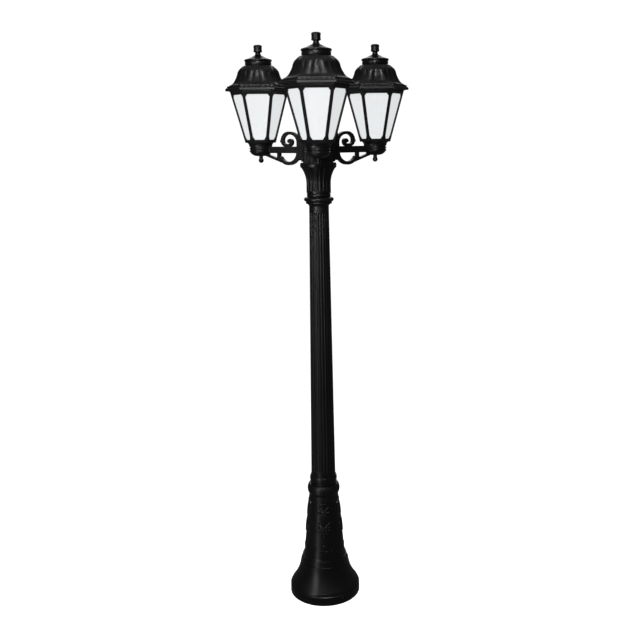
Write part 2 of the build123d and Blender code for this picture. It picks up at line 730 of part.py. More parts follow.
def capital():
    flare_z = CAPITAL_Z + CAPITAL_STEM_H
    ring_z = flare_z + CAPITAL_FLARE_H
    flare_top_r = capital_flare_r(CAPITAL_FLARE_H)
    flange_z = SPIGOT_TOP_Z + CAPITAL_FLANGE_T
    body = turned(
        Polyline(
            (SPIGOT_HOLE_R, CAPITAL_Z),
            (CAPITAL_STEM_R, CAPITAL_Z),
            (CAPITAL_STEM_R, flare_z),
        ),
        ThreePointArc(
            (CAPITAL_STEM_R, flare_z),
            (capital_flare_r(CAPITAL_FLARE_H / 2), flare_z + CAPITAL_FLARE_H / 2),
            (flare_top_r, ring_z),
        ),
        Polyline((flare_top_r, ring_z), (CAPITAL_RING_R, ring_z)),
        SagittaArc((CAPITAL_RING_R, ring_z), (CAPITAL_RING_R, HUB_Z), -CAPITAL_RING_BULGE),
        Polyline(
            (CAPITAL_RING_R, HUB_Z),
            (CAPITAL_WELL_R, HUB_Z),
            (CAPITAL_WELL_R, flange_z),
            (SPIGOT_BORE_R, flange_z),
            (SPIGOT_BORE_R, SPIGOT_TOP_Z),
            (SPIGOT_HOLE_R, SPIGOT_TOP_Z),
            (SPIGOT_HOLE_R, CAPITAL_Z),
        ),
    )
    body -= around(capital_flute(), even_turns(CAPITAL_FLUTES))
    flange_hole = Pos(CAPITAL_SCREW_CIRCLE_R, 0, 0) * rod(CAPITAL_SCREW_R + GAP, SPIGOT_TOP_Z, flange_z)
    body -= around(flange_hole, CAPITAL_SCREW_TURNS)
    depth = HUB_SCREW_L - HUB_FLOOR_T + GAP
    ring_hole = Pos(HUB_SCREW_CIRCLE_R, 0, 0) * rod(HUB_SCREW_R + RUNNING_FIT, HUB_Z - depth, HUB_Z)
    body -= around(ring_hole, HUB_SCREW_TURNS)
    return body


def capital_screws():
    one = Pos(CAPITAL_SCREW_CIRCLE_R, 0, SPIGOT_TOP_Z + CAPITAL_FLANGE_T) * screw(
        CAPITAL_SCREW_R, CAPITAL_SCREW_L, CAPITAL_SCREW_HEAD_R, CAPITAL_SCREW_HEAD_H
    )
    return group(around(one, CAPITAL_SCREW_TURNS))


def arm_screw_place(height):
    """Seat of an arm screw's head inside the hub, pointing out along the arm."""
    return Pos(ARM_SCREW_SEAT, 0, HUB_Z + height) * Rot(Y=-90)


def hub():
    inner_r = HUB_R - HUB_WALL
    pad_low = HUB_Z + ROOT_LIFT - HUB_PAD_MARGIN
    reach = HUB_PAD_FACE - inner_r
    pad = Pos(inner_r + reach / 2, 0, pad_low) * extrude(Rectangle(reach, HUB_PAD_W), HUB_TOP_Z - pad_low)
    groove = Pos(HUB_R + REED_CUT_R / 2, 0, 0) * rod(REED_CUT_R, HUB_Z, HUB_TOP_Z)
    body = rod(HUB_R, HUB_Z, HUB_TOP_Z)
    body -= around(groove, even_turns(REED_COUNT))
    body += around(pad, ARM_DIRECTIONS.values())
    body -= rod(inner_r, HUB_Z + HUB_FLOOR_T, HUB_TOP_Z)
    body -= rod(HUB_CABLE_R, HUB_Z, HUB_Z + HUB_FLOOR_T)
    floor_hole = Pos(HUB_SCREW_CIRCLE_R, 0, 0) * rod(HUB_SCREW_R + GAP, HUB_Z, HUB_Z + HUB_FLOOR_T)
    body -= around(floor_hole, HUB_SCREW_TURNS)
    holes = [
        arm_screw_place(ROOT_LIFT + offset)
        * screw(ARM_SCREW_R + GAP, HUB_PAD_FACE - ARM_SCREW_SEAT, ARM_SCREW_HEAD_R + GAP, HUB_WALL)
        for offset in ARM_SCREW_OFFSETS
    ]
    for hole in holes:
        body -= around(hole, ARM_DIRECTIONS.values())
    return body


def hub_screws():
    one = Pos(HUB_SCREW_CIRCLE_R, 0, HUB_Z + HUB_FLOOR_T) * screw(
        HUB_SCREW_R, HUB_SCREW_L, HUB_SCREW_HEAD_R, HUB_SCREW_HEAD_H
    )
    return group(around(one, HUB_SCREW_TURNS))


def hub_cap():
    spigot_r = HUB_R - HUB_WALL - GAP
    rim_z = HUB_TOP_Z + CAP_RIM_T
    top_z = rim_z + CAP_DOME_H
    under_r = spigot_r - CAP_SPIGOT_WALL
    return turned(
        Polyline((0, rim_z), (under_r, HUB_TOP_Z), (under_r, HUB_TOP_Z - CAP_SPIGOT_H)),
        Polyline(
            (under_r, HUB_TOP_Z - CAP_SPIGOT_H),
            (spigot_r, HUB_TOP_Z - CAP_SPIGOT_H),
            (spigot_r, HUB_TOP_Z),
            (HUB_R, HUB_TOP_Z),
            (HUB_R, rim_z),
        ),
        RadiusArc((HUB_R, rim_z), (0, top_z), -(HUB_R**2 + CAP_DOME_H**2) / (2 * CAP_DOME_H)),
        Line((0, top_z), (0, rim_z)),
    )


def arm_screws():
    screws = []
    for offset in ARM_SCREW_OFFSETS:
        one = arm_screw_place(ROOT_LIFT + offset) * screw(
            ARM_SCREW_R, ARM_SCREW_L, ARM_SCREW_HEAD_R, ARM_SCREW_HEAD_H
        )
        screws += around(one, ARM_DIRECTIONS.values())
    return group(screws)


def scroll_path():
    """Scroll that tightens by quarter turns from the root to its eye."""
    rise = SCROLL_RADII[1] + SCROLL_RADII[2] - SCROLL_RADII[0]
    point = Vector(SCROLL_START, CUP_Z + STRIP_W / 2 - SCROLL_SINK + rise)
    heading = Vector(0, 1)
    edges = []
    for radius, run in zip(SCROLL_RADII, SCROLL_RUNS + (0.0,)):
        quarter = JernArc(point, heading, radius, -90)
        edges.append(quarter)
        point = quarter @ 1
        heading = quarter % 1
        if run:
            straight = Line(point, point + heading * run)
            edges.append(straight)
            point = straight @ 1
    return Wire([edge.edge() for edge in edges])


def leaf(place):
    """Pointed leaf that breaks the outline of the scrollwork."""
    edges = [SagittaArc((0, 0), (LEAF_L, 0), LEAF_W / 2), SagittaArc((LEAF_L, 0), (0, 0), LEAF_W / 2)]
    return Pos(*place) * Rot(Z=LEAF_TURN) * make_face(edges)


def path_side():
    """Distance from the post of the scroll's side nearest the lantern."""
    return SCROLL_START + SCROLL_RADII[0] + SCROLL_RUNS[0] + SCROLL_RADII[1]


def arm_scrollwork():
    """Bar, scroll, brace, tail and strut, drawn with X along the arm and Y up."""
    bar_z = CUP_Z - BAR_T / 2
    root_s = HUB_PAD_FACE + ROOT_T / 2
    cup_s = REACH - CUP_R
    bar = Pos((root_s + cup_s) / 2, bar_z) * Rectangle(cup_s - root_s + CUP_WALL, BAR_T)
    path = scroll_path()
    foot = path @ 0
    eye = path @ 1 + Vector(SCROLL_EYE_R, -SCROLL_EYE_R) / 2
    middle = Vector(BRACE_CENTRE, CUP_Z - BAR_T + BRACE_RISE)
    brace = CenterArc(middle, BRACE_RADIUS, BRACE_FROM, BRACE_TO - BRACE_FROM)
    leaving = math.radians(270.0 + TAIL_RISE_ANGLE)
    tail_start = middle + Vector(math.cos(leaving), math.sin(leaving)) * BRACE_RADIUS
    tail_run = REACH - CUP_BOSS_R - TAIL_W / 2 - tail_start.X
    tail_end = tail_start + Vector(tail_run, tail_run * math.tan(math.radians(TAIL_RISE_ANGLE)))
    strut_foot = Vector(STRUT_S, (brace @ 1).Y)
    flat = bar + [
        SlotArc(path, STRIP_W),
        SlotArc(Line((foot.X, bar_z), foot).edge(), STRIP_W),
        Pos(eye) * Circle(SCROLL_EYE_R),
        SlotArc(brace.edge(), BRACE_W),
        SlotArc(Line(tail_start, tail_end).edge(), TAIL_W),
        SlotArc(Line((STRUT_S, bar_z), strut_foot).edge(), STRIP_W),
        leaf(Vector(path_side(), foot.Y + SCROLL_RADII[0] - SCROLL_RADII[1] + LEAF_RISE)),
        leaf(strut_foot + Vector(0, LEAF_RISE)),
    ]
    return extrude(flat, STRIP_T / 2, both=True)


def cup():
    """Turned cup at the end of the arm, about the lantern's axis."""
    low = CUP_Z - CUP_H
    floor = low + CUP_DISH_H
    hollow_r = CUP_R - CUP_WALL
    body = turned(
        Polyline((TUBE_HOLE_R, CUP_Z), (TUBE_HOLE_R, low), (CUP_DISH_R, low)),
        SagittaArc((CUP_DISH_R, low), (CUP_R, floor), -CUP_DISH_BULGE),
        Polyline(
            (CUP_R, floor),
            (CUP_R, CUP_Z),
            (hollow_r, CUP_Z),
            (hollow_r, floor),
            (CUP_BOSS_R, floor),
            (CUP_BOSS_R, CUP_Z),
            (TUBE_HOLE_R, CUP_Z),
        ),
    )
    for drop in CUP_BEADS:
        body += Pos(0, 0, CUP_Z - drop) * Torus(CUP_R, CUP_BEAD_R)
    return body


def arm():
    """Arm with X along it and the post's axis at the origin."""
    root = Pos(HUB_PAD_FACE + ROOT_T / 2, 0, HUB_Z + ROOT_LIFT) * extrude(Rectangle(ROOT_T, ROOT_W), ROOT_H)
    body = root + Plane.XZ * arm_scrollwork()
    hollow = rod(CUP_R - CUP_WALL / 2, CUP_Z - CUP_H + CUP_DISH_H, CUP_Z + CUP_H)
    body -= LANTERN_AXIS * hollow
    body += LANTERN_AXIS * cup()
    body -= LANTERN_AXIS * rod(TUBE_HOLE_R, 0, CUP_Z)
    depth = ARM_SCREW_L - (HUB_PAD_FACE - ARM_SCREW_SEAT) + GAP
    screw_hole = Rot(Y=90) * rod(ARM_SCREW_R + RUNNING_FIT, 0, depth)
    body -= [Pos(HUB_PAD_FACE, 0, HUB_Z + ROOT_LIFT + offset) * screw_hole for offset in ARM_SCREW_OFFSETS]
    return body


def drop_finial():
    top = CUP_Z - CUP_H
    ball_z = top - DROP_BALL_DROP
    ball = Pos(0, 0, ball_z) * Sphere(DROP_BALL_R)
    neck = rod(DROP_NECK_R, ball_z, top)
    return ball + neck - rod(TUBE_R + RUNNING_FIT, ball_z - TUBE_IN_BALL - GAP, top)


def lantern_tubes():
    low = CUP_Z - CUP_H - DROP_BALL_DROP - TUBE_IN_BALL
    one = rod(TUBE_R, low, FLOOR_Z + TUBE_IN_HOLDER) - rod(TUBE_BORE_R, low, FLOOR_Z + TUBE_IN_HOLDER)
    return group(around(LANTERN_AXIS * one, ARM_DIRECTIONS.values()))


def lantern_base():
    inner_foot = HOPPER_FOOT_R - HOPPER_WALL
    inner_top = HOPPER_TOP_R - HOPPER_WALL
    foot_z = CUP_Z + HOPPER_WALL
    return turned(
        Polyline((TUBE_HOLE_R, foot_z), (TUBE_HOLE_R, CUP_Z), (HOPPER_FOOT_R, CUP_Z)),
        SagittaArc((HOPPER_FOOT_R, CUP_Z), (HOPPER_TOP_R, FRAME_Z), HOPPER_SAG),
        Polyline(
            (HOPPER_TOP_R, FRAME_Z),
            (inner_top, FRAME_Z),
            (inner_foot, foot_z),
            (TUBE_HOLE_R, foot_z),
        ),
    )


def frame_r(height):
    """Corner radius of the lantern frame at a height."""
    return FRAME_FOOT_R + (FRAME_TOP_R - FRAME_FOOT_R) * (height - FRAME_Z) / FRAME_H


def window_prism():
    """One window of the lantern frame, pushed out through the side it belongs to."""
    low = FRAME_Z + WINDOW_SILL
    high = FRAME_TOP_Z - WINDOW_HEAD
    half_low = (frame_r(low) - FRAME_RIB_W) / 2
    half_high = (frame_r(high) - FRAME_RIB_W) / 2
    low_side = low + WINDOW_LOW_CORNER_H
    high_side = high - WINDOW_HIGH_CORNER_H
    right = [
        (half_low - WINDOW_LOW_CORNER_W, low),
        ((frame_r(low_side) - FRAME_RIB_W) / 2, low_side),
        ((frame_r(high_side) - FRAME_RIB_W) / 2, high_side),
        (half_high - WINDOW_HIGH_CORNER_W, high),
    ]
    left = [(-y, z) for y, z in reversed(right)]
    return extrude(Plane.YZ * make_face(Polyline(*right, *left, close=True)), FRAME_TOP_R)


def lantern_frame():
    wall = hex_inset(FRAME_WALL)
    body = hex_taper(FRAME_Z, FRAME_FOOT_R, FRAME_TOP_Z, FRAME_TOP_R)
    body -= hex_taper(FLOOR_Z, frame_r(FLOOR_Z) - wall, FRAME_TOP_Z, FRAME_TOP_R - wall)
    body -= around(window_prism(), even_turns(LANTERN_SIDES))
    body -= rod(TUBE_HOLE_R, FRAME_Z, FLOOR_Z)
    body -= bridge_bar(BRIDGE_W + 2 * BRIDGE_FIT)
    return body


def bridge_bar(width):
    """Flat bar across the top of the frame, from side to side."""
    across = 2 * (FRAME_TOP_R * FACE_SHARE - FRAME_WALL / 2)
    return Pos(0, 0, FRAME_TOP_Z - BRIDGE_T) * extrude(Rectangle(across, width), BRIDGE_T)


def roof_bridge():
    return bridge_bar(BRIDGE_W) - rod(STUD_HOLE_R, FRAME_TOP_Z - BRIDGE_T, FRAME_TOP_Z)


def roof_studs():
    top = VENT_TOP_Z + KNOB_THREAD_L - GAP
    low = FRAME_TOP_Z - BRIDGE_T - STUD_NUT_H
    one = rod(STUD_R, low, top)
    one += hex_prism(STUD_NUT_R, low, low + STUD_NUT_H)
    one += hex_prism(STUD_NUT_R, FRAME_TOP_Z, FRAME_TOP_Z + STUD_NUT_H)
    return group(around(LANTERN_AXIS * one, ARM_DIRECTIONS.values()))


def diffuser():
    outer = hex_inset(FRAME_WALL + GAP)
    inner = hex_inset(FRAME_WALL + GAP + DIFFUSER_WALL)
    top = FRAME_TOP_Z - DIFFUSER_TOP_DROP
    inside_z = FLOOR_Z + DIFFUSER_WALL
    body = hex_taper(FLOOR_Z, frame_r(FLOOR_Z) - outer, top, frame_r(top) - outer)
    body -= hex_taper(inside_z, frame_r(inside_z) - inner, top, frame_r(top) - inner)
    return body - rod(HOLDER_FLANGE_R + GAP, FLOOR_Z, inside_z)


def lampholder():
    top = FLOOR_Z + HOLDER_H
    inner = HOLDER_R - HOLDER_WALL
    return turned_polygon(
        (TUBE_R + RUNNING_FIT, FLOOR_Z),
        (HOLDER_FLANGE_R, FLOOR_Z),
        (HOLDER_FLANGE_R, FLOOR_Z + HOLDER_FLANGE_T),
        (HOLDER_R, FLOOR_Z + HOLDER_FLANGE_T),
        (HOLDER_R, top),
        (inner, top),
        (inner, FLOOR_Z + HOLDER_FLOOR),
        (TUBE_R + RUNNING_FIT, FLOOR_Z + HOLDER_FLOOR),
    )


def bulb():
    cap_r = HOLDER_R - HOLDER_WALL - GAP
    neck_z = FLOOR_Z + HOLDER_H + GAP
    globe_z = BULB_Z + BULB_H - BULB_R
    side = math.radians(BULB_GLOBE_ANGLE)
    globe_side = (BULB_R * math.cos(side), globe_z - BULB_R * math.sin(side))
    return turned(
        Polyline((0, BULB_Z), (cap_r, BULB_Z), (cap_r, neck_z), (BULB_NECK_R, neck_z)),
        SagittaArc((BULB_NECK_R, neck_z), globe_side, BULB_NECK_SAG),
        ThreePointArc(
            globe_side,
            (BULB_R * math.cos(side), globe_z + BULB_R * math.sin(side)),
            (0, globe_z + BULB_R),
        ),
        Line((0, globe_z + BULB_R), (0, BULB_Z)),
    )


def roof_seal():
    outer = FRAME_TOP_R
    return hex_prism(outer, FRAME_TOP_Z, LIP_Z) - hex_prism(outer - hex_inset(SEAL_W), FRAME_TOP_Z, LIP_Z)


def petal_section(corner_r, height, roundness, bulge, dart):
    """Outline between a hexagon and a circle, with two petals and a dart between them on each side."""
    def outline_point(turn, off_side, lift):
        flat_r = corner_r * FACE_SHARE / math.cos(math.radians(off_side))
        radius = flat_r + (corner_r - flat_r) * roundness + lift
        return Vector(radius, 0).rotate(Axis.Z, turn + off_side)

    stretches = ((-HALF_SIDE_ANGLE, -dart, bulge), (-dart, dart, DART_BULGE), (dart, HALF_SIDE_ANGLE, bulge))
    edges = []
    for turn in even_turns(LANTERN_SIDES):
        for start, end, lift in stretches:
            middle = outline_point(turn, (start + end) / 2, lift)
            edges.append(ThreePointArc(outline_point(turn, start, 0), middle, outline_point(turn, end, 0)))
    return Pos(0, 0, height) * make_face(edges)


def petal_dome():
    """Ogee dome, hexagonal at the eave and round at the neck, with two petals a side."""
    waist = SagittaArc((DOME_FOOT_R, DOME_Z), (DOME_WAIST_R, WAIST_Z), DOME_WAIST_SAG)
    shoulder = SagittaArc((DOME_WAIST_R, WAIST_Z), (DOME_TOP_R, DOME_TOP_Z), -DOME_SHOULDER_SAG)
    hip = [waist @ (step / DOME_STEPS) for step in range(DOME_STEPS)]
    hip += [shoulder @ (step / DOME_STEPS) for step in range(DOME_STEPS + 1)]
    sections = []
    for point in hip:
        share = (point.Y - DOME_Z) / (DOME_TOP_Z - DOME_Z)
        bulge = PETAL_EDGE_BULGE + PETAL_BULGE * math.sin(math.pi * share)
        dart = DART_FOOT_ANGLE + (DART_TOP_ANGLE - DART_FOOT_ANGLE) * share
        sections.append(petal_section(point.X, point.Y, share, bulge, dart))
    return loft(sections)


def roof():
    body = hex_prism(LIP_R, LIP_Z, EAVE_Z)
    body += hex_prism(EAVE_R, EAVE_Z, EAVE_Z + EAVE_H)
    body += hex_taper(EAVE_Z + EAVE_H, EAVE_R, BEAD_Z, EAVE_SLOPE_R)
    body += hex_prism(ROOF_BEAD_R, BEAD_Z, DOME_Z)
    body += petal_dome()
    neck_low = (ROOF_NECK_R, DOME_TOP_Z)
    neck_high = (ROOF_NECK_R, ROOF_TOP_Z)
    body += turned(
        SagittaArc(neck_low, neck_high, -ROOF_NECK_BULGE),
        Polyline(neck_high, (0, ROOF_TOP_Z), (0, DOME_TOP_Z), neck_low),
    )
    inner_hex = LIP_R - hex_inset(LIP_W)
    body -= hex_prism(inner_hex, LIP_Z, BEAD_Z)
    foot = (DOME_FOOT_R * FACE_SHARE - 2 * ROOF_WALL, BEAD_Z)
    waist = (DOME_WAIST_R * FACE_SHARE - ROOF_WALL, WAIST_Z)
    shoulder = (DOME_TOP_R - 2 * ROOF_WALL, DOME_TOP_Z - ROOF_WALL)
    top = ROOF_TOP_Z - ROOF_WALL
    body -= turned(
        Polyline((0, BEAD_Z), foot, waist),
        SagittaArc(waist, shoulder, -DOME_SHOULDER_SAG),
        Polyline(shoulder, (shoulder[0], top), (0, top), (0, BEAD_Z)),
    )
    return body - rod(STUD_HOLE_R, LIP_Z, ROOF_TOP_Z)


def vent_cap():
    hollow_r = VENT_R - VENT_WALL
    return turned(
        Polyline(
            (STUD_HOLE_R, VENT_DOME_Z),
            (hollow_r - VENT_DOME_R, VENT_DOME_Z),
            (hollow_r, ROOF_TOP_Z),
            (VENT_R, ROOF_TOP_Z),
        ),
        SagittaArc((VENT_R, ROOF_TOP_Z), (VENT_R, VENT_DOME_Z), -VENT_BRIM_BULGE),
        SagittaArc((VENT_R, VENT_DOME_Z), (VENT_DOME_R, VENT_NECK_Z), VENT_DOME_SAG),
        SagittaArc((VENT_DOME_R, VENT_NECK_Z), (VENT_NECK_R, VENT_TOP_Z), VENT_NECK_SAG),
        Polyline((VENT_NECK_R, VENT_TOP_Z), (STUD_HOLE_R, VENT_TOP_Z), (STUD_HOLE_R, VENT_DOME_Z)),
    )


def roof_knob():
    top = VENT_TOP_Z + KNOB_H
    neck_z = VENT_TOP_Z + KNOB_NECK_H
    low_z = neck_z + KNOB_CROWN
    high_z = top - KNOB_CROWN
    body = turned(
        Polyline((0, VENT_TOP_Z), (KNOB_NECK_R, VENT_TOP_Z), (KNOB_NECK_R, neck_z), (KNOB_R, low_z)),
        SagittaArc((KNOB_R, low_z), (KNOB_R, high_z), KNOB_R - KNOB_WAIST_R),
        Polyline((KNOB_R, high_z), (KNOB_WAIST_R - KNOB_CROWN, top), (0, top), (0, VENT_TOP_Z)),
    )
    scallop = Pos(KNOB_R + KNOB_SCALLOP_R - KNOB_SCALLOP_DEPTH, 0, 0) * rod(KNOB_SCALLOP_R, neck_z, top)
    body -= around(scallop, even_turns(KNOB_SCALLOPS))
    return body - rod(STUD_R + RUNNING_FIT, VENT_TOP_Z, VENT_TOP_Z + KNOB_THREAD_L)


def post_nodes():
    """Pieces of the post, by node name."""
    return {
        "base_plinth": base_plinth(),
        "access_door": access_door(),
        "door_screw": door_screw(),
        "floor_flange": floor_flange(),
        "rim_screws": group(around(rim_screw(), LUG_TURNS)),
        "terminal_board": terminal_board(),
        "terminal_block": terminal_block(),
        "terminal_screws": terminal_screws(),
        "base_collar": base_collar(),
        "pole": pole(),
        "pole_screws": pole_screws(),
        "neck_ring": neck_ring(),
        "capital": capital(),
        "capital_screws": capital_screws(),
        "hub": hub(),
        "hub_screws": hub_screws(),
        "hub_cap": hub_cap(),
        "arm_screws": arm_screws(),
        "lantern_tubes": lantern_tubes(),
        "roof_studs": roof_studs(),
    }


def lantern_pieces():
    """Pieces that each lantern has, in the arm's own directions."""
    pieces = {
        "drop_finial": drop_finial(),
        "lantern_base": lantern_base(),
        "lantern_frame": lantern_frame(),
        "diffuser": diffuser(),
        "lampholder": lampholder(),
        "bulb": bulb(),
        "roof_bridge": roof_bridge(),
        "roof_seal": roof_seal(),
        "roof": roof(),
        "vent_cap": vent_cap(),
        "roof_knob": roof_knob(),
    }
    placed = {name: LANTERN_AXIS * piece for name, piece in pieces.items()}
    placed["arm"] = arm()
    return placed


nodes = post_nodes()
for lantern_piece, shape in lantern_pieces().items():
    for lantern, direction in ARM_DIRECTIONS.items():
        nodes[f"{lantern_piece}_{lantern}"] = Rot(Z=direction) * shape

os.makedirs("parts", exist_ok=True)
for node_name, node_shape in nodes.items():
    export_step(node_shape, f"parts/{node_name}.step")
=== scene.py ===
import json
import math
from collections import namedtuple

import bmesh
import bpy
from mathutils import Matrix, Vector
from mathutils.bvhtree import BVHTree


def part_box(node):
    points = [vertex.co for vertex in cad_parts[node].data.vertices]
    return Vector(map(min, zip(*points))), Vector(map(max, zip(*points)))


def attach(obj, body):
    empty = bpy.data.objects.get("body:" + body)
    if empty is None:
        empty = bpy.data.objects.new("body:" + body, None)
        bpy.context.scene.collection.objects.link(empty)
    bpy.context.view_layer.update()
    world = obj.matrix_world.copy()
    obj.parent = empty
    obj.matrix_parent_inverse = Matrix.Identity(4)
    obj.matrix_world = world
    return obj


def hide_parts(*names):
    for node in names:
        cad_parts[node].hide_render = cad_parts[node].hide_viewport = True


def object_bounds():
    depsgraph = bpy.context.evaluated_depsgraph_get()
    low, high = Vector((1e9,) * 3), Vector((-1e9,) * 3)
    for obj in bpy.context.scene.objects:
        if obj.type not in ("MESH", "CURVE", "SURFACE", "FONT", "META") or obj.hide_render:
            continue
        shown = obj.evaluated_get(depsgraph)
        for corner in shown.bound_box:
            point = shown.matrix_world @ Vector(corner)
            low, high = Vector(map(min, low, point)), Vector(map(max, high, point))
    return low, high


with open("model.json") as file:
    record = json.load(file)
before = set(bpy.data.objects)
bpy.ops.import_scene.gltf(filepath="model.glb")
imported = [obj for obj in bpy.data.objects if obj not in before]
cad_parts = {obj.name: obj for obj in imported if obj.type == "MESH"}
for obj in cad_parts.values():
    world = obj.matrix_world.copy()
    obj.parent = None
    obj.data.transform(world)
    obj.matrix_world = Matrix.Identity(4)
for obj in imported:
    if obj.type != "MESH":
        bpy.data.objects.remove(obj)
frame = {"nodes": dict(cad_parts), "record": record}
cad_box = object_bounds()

# Looks of a garden lamp post: satin black resin, opal panes and a leaf drop on each panel of its base.
# Metres, watts and degrees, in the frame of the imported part.

NODES = frame["nodes"]
LANTERNS = ("front", "right", "left")
LANTERN_SIDES = 6
UP = Vector((0, 0, 1))
WHITE = (1.0, 1.0, 1.0)

# Camera fitted to the photograph
CAMERA_PLACE = (0.0067, -2.6597, 1.5894)
CAMERA_PITCH = 77.244
CAMERA_TURN = -1.586
CAMERA_ROLL = -0.563
CAMERA_LENS_MM = 45.88
CAMERA_SENSOR_MM = 36.0
CAMERA_SHIFT = -0.0389
CAMERA_CLIP_END = 100.0

# Panel of the base: its surface and the direction that it faces, in radians; a ray from outside finds it
BasePanel = namedtuple("BasePanel", "surface direction")
PANEL_DIRECTIONS = {"front": -90.0, "right": 0.0, "back": 90.0, "left": 180.0}
PANEL_RAY_R = 0.3

# Leaf: its turn from straight up, length, width and thickness
Leaf = namedtuple("Leaf", "turn length width thickness")
LEAF_ROWS = 24
LEAF_COLUMNS = 8
LEAF_SINK = 0.0005

# Form of every leaf: powers of its outline, and its tip, lobes and midrib as shares of its size
LEAF_BELLY_POWER = 0.75
LEAF_FULLNESS_POWER = 0.7
LEAF_TIP_SHARE = 0.2
LEAF_LOBES = 3.5
LEAF_LOBE_CUT = 0.3
LEAF_LOBE_DIP = 0.35
LEAF_RIB_DEPTH = 0.35
LEAF_RIB_SHARE = 0.22

# Berry between the leaves
BERRY_RINGS = 6
BERRY_SIDES = 12

# Spray of leaves: how far it is below the door's top, how far its side leaves start from the middle,
# the leaves to one side, the leaf that hangs, and its berries: their radius, the place of the side ones
# and the rise of the top one
Spray = namedtuple("Spray", "fall foot side_leaves hanging_leaf berry_r side_berry top_berry_rise")
UPPER_SPRAY = Spray(
    fall=0.0305,
    foot=0.0015,
    side_leaves=(
        Leaf(152.0, 0.029, 0.011, 0.0042),
        Leaf(100.0, 0.023, 0.013, 0.0042),
        Leaf(42.0, 0.027, 0.012, 0.0042),
    ),
    hanging_leaf=Leaf(180.0, 0.031, 0.012, 0.0044),
    berry_r=0.00272,
    side_berry=(0.0036, -0.001),
    top_berry_rise=0.0045,
)
LOWER_SPRAY = Spray(
    fall=0.0895,
    foot=0.002,
    side_leaves=(
        Leaf(152.0, 0.033, 0.013, 0.0046),
        Leaf(118.0, 0.031, 0.014, 0.0046),
        Leaf(82.0, 0.029, 0.014, 0.0046),
        Leaf(42.0, 0.031, 0.013, 0.0046),
    ),
    hanging_leaf=Leaf(180.0, 0.035, 0.014, 0.0048),
    berry_r=0.0034,
    side_berry=(0.0042, -0.002),
    top_berry_rise=0.005,
)

# Stem of the leaf drop; its profile is in shares of its half width, across and up
DOOR_TOP_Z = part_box("access_door")[1][2]
STEM_TOP_Z = DOOR_TOP_Z - 0.0035
STEM_LOW_Z = DOOR_TOP_Z - 0.1225
STEM_W = 0.0026
STEM_TAPER = 0.5
STEM_STEPS = 24
STEM_SINK = LEAF_SINK / 3
STEM_PROFILE = ((-1.0, 0.0), (-0.6, 0.9), (0.0, 1.2), (0.6, 0.9), (1.0, 0.0))

# Row of small beads along the edge under each roof's dome
EDGE_BEAD_RISE = 0.0146
EDGE_BEAD_COUNT = 7
EDGE_BEAD_PITCH = 0.0132
EDGE_BEAD_L = 0.0108
EDGE_BEAD_H = 0.0042
EDGE_BEAD_T = 0.0016
EDGE_BEAD_SINK = EDGE_BEAD_T / 8
EDGE_BEAD_COLUMNS = 8
EDGE_BEAD_ROWS = 4
ROOF_FIRST_SIDE = 90.0
ROOF_RAY_R = 0.2

# Slotted screw: its head, its shank and the turn of its slot
Screw = namedtuple("Screw", "head_r head_h shank_r shank_l slot_turn")
SCREW_SIDES = 20
SCREW_SLOT_W = 0.0016
SCREW_SLOT_SHARE = 0.45
SCREW_FOOT_CROWN_SHARE = 1 / 20
SCREW_HEAD_CROWN_SHARE = 1 / 8
SCREW_TIP_CROWN_SHARE = 1 / 3
DOOR_SCREW_HEAD_H = 0.0025
DOOR_SCREW_SHANK_R = 0.0024
DOOR_SCREW_SLOT_TURN = 62.0
RIM_SCREW_HEAD_H = 0.0022
RIM_SCREW_SHANK_R = 0.0025
RIM_SCREW_SHANK_L = 0.014
RIM_SCREW_SLOT_TURN = 20.0
RIM_SCREW_TURNS = (-60.0, 60.0, 180.0)

# Noise behind every finish: slow clouds of shade and roughness, and a fine grain
CLOUD_SCALE = 9.0
CLOUD_DETAIL = 5.0
CLOUD_ROUGH_FROM = 0.3
CLOUD_ROUGH_TO = 0.7
CLOUD_SHADE_FROM = 0.35
CLOUD_SHADE_TO = 0.65
GRAIN_DETAIL = 3.0
EDGE_ROUND_SAMPLES = 6

